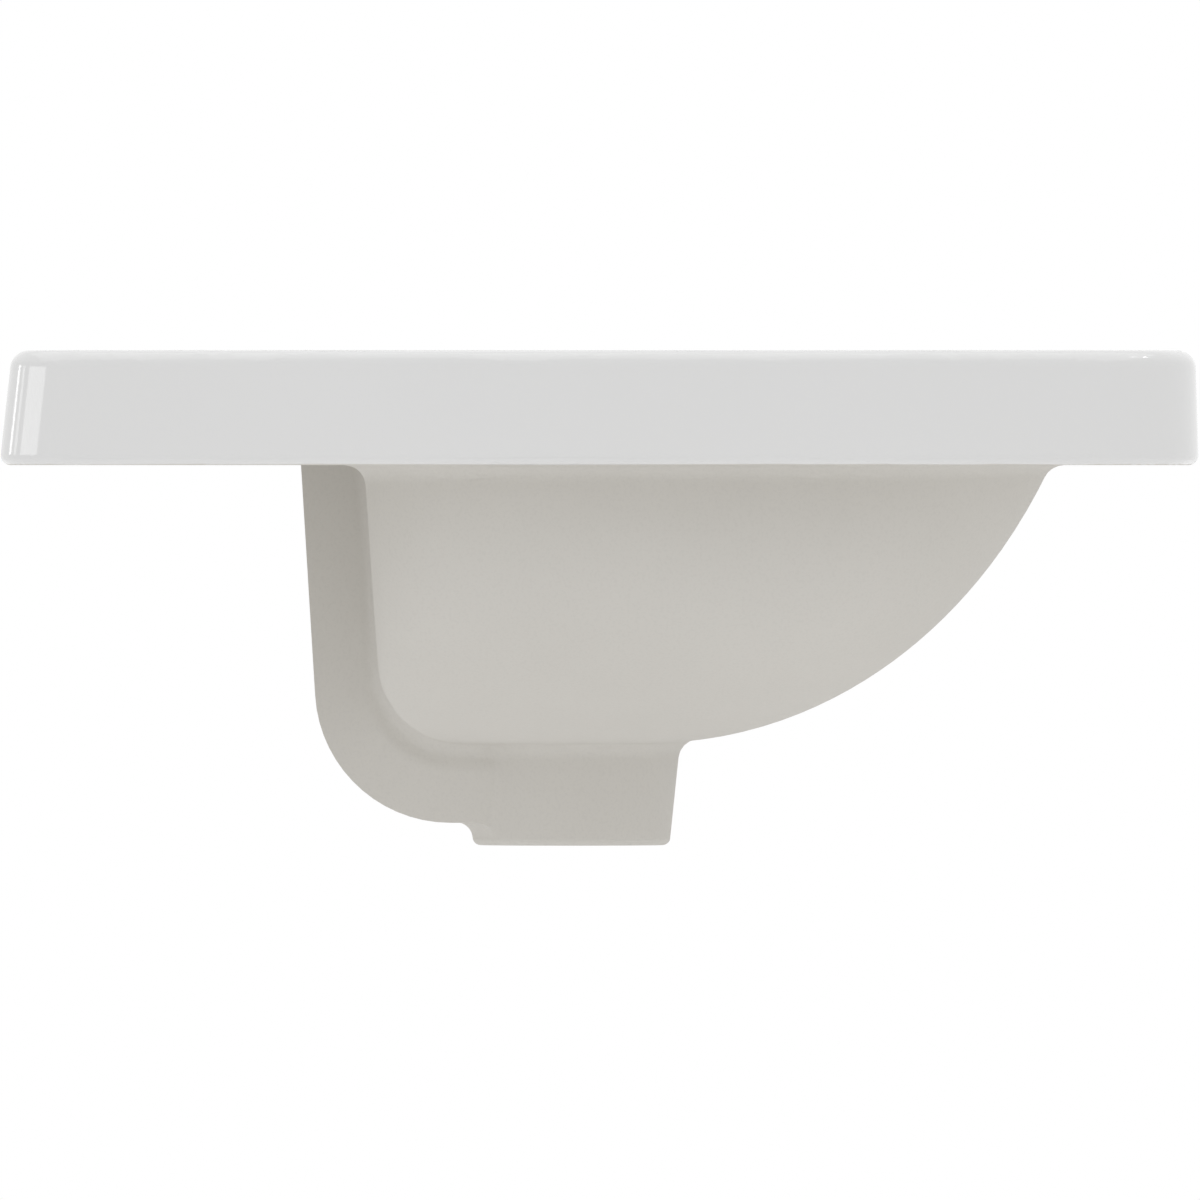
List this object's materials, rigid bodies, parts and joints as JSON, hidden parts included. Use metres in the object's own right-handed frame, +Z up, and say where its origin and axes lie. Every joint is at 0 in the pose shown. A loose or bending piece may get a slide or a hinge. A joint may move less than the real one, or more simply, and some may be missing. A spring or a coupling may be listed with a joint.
{
  "type": "inset basin",
  "caption": "White ceramic inset basin with a deep straight rim, tap hole, moulded overflow channel, outlet boss and a press-to-close waste.",
  "frame": {"origin": "middle of the rim's outline, on the flat underside of the rim that rests on the worktop", "axes": "+X along the width, -Y towards the user at the front, +Y towards the tap ledge at the back, +Z up"},
  "size_m": [0.55, 0.44, 0.1835],
  "materials": {
    "sanitary_ceramic": "gloss white glaze above, bare fired clay below",
    "chromed_metal": "polished",
    "black_rubber": "matt",
    "white_nylon": "moulded",
    "plain_brass": "turned",
    "spring_steel": "drawn wire"
  },
  "bodies": {
    "basin": {"backnut": "plain_brass", "basin_body": "sanitary_ceramic", "boss_washer": "black_rubber", "cartridge_end_cap": "white_nylon", "cartridge_housing": "white_nylon", "cartridge_nut": "plain_brass", "cartridge_spring": "spring_steel", "fixing_inserts": "plain_brass", "fixing_sleeves": "white_nylon", "flange_gasket": "black_rubber", "overflow_seal_sleeve": "black_rubber", "overflow_trim_ring": "chromed_metal", "slip_washer": "white_nylon", "waste_body": "chromed_metal"},
    "plug": {"plug_cap": "chromed_metal", "plug_seal": "black_rubber", "seal_retainer": "white_nylon", "plug_stem": "plain_brass", "latch_rotor": "white_nylon", "rotor_clip": "spring_steel"}
  },
  "joints": [
    {"name": "plug_press", "type": "slide", "parent": "basin", "child": "plug", "axis": [0, 0, 1], "range_m": [-0.009, 0], "deforming": ["cartridge_spring"]}
  ]
}
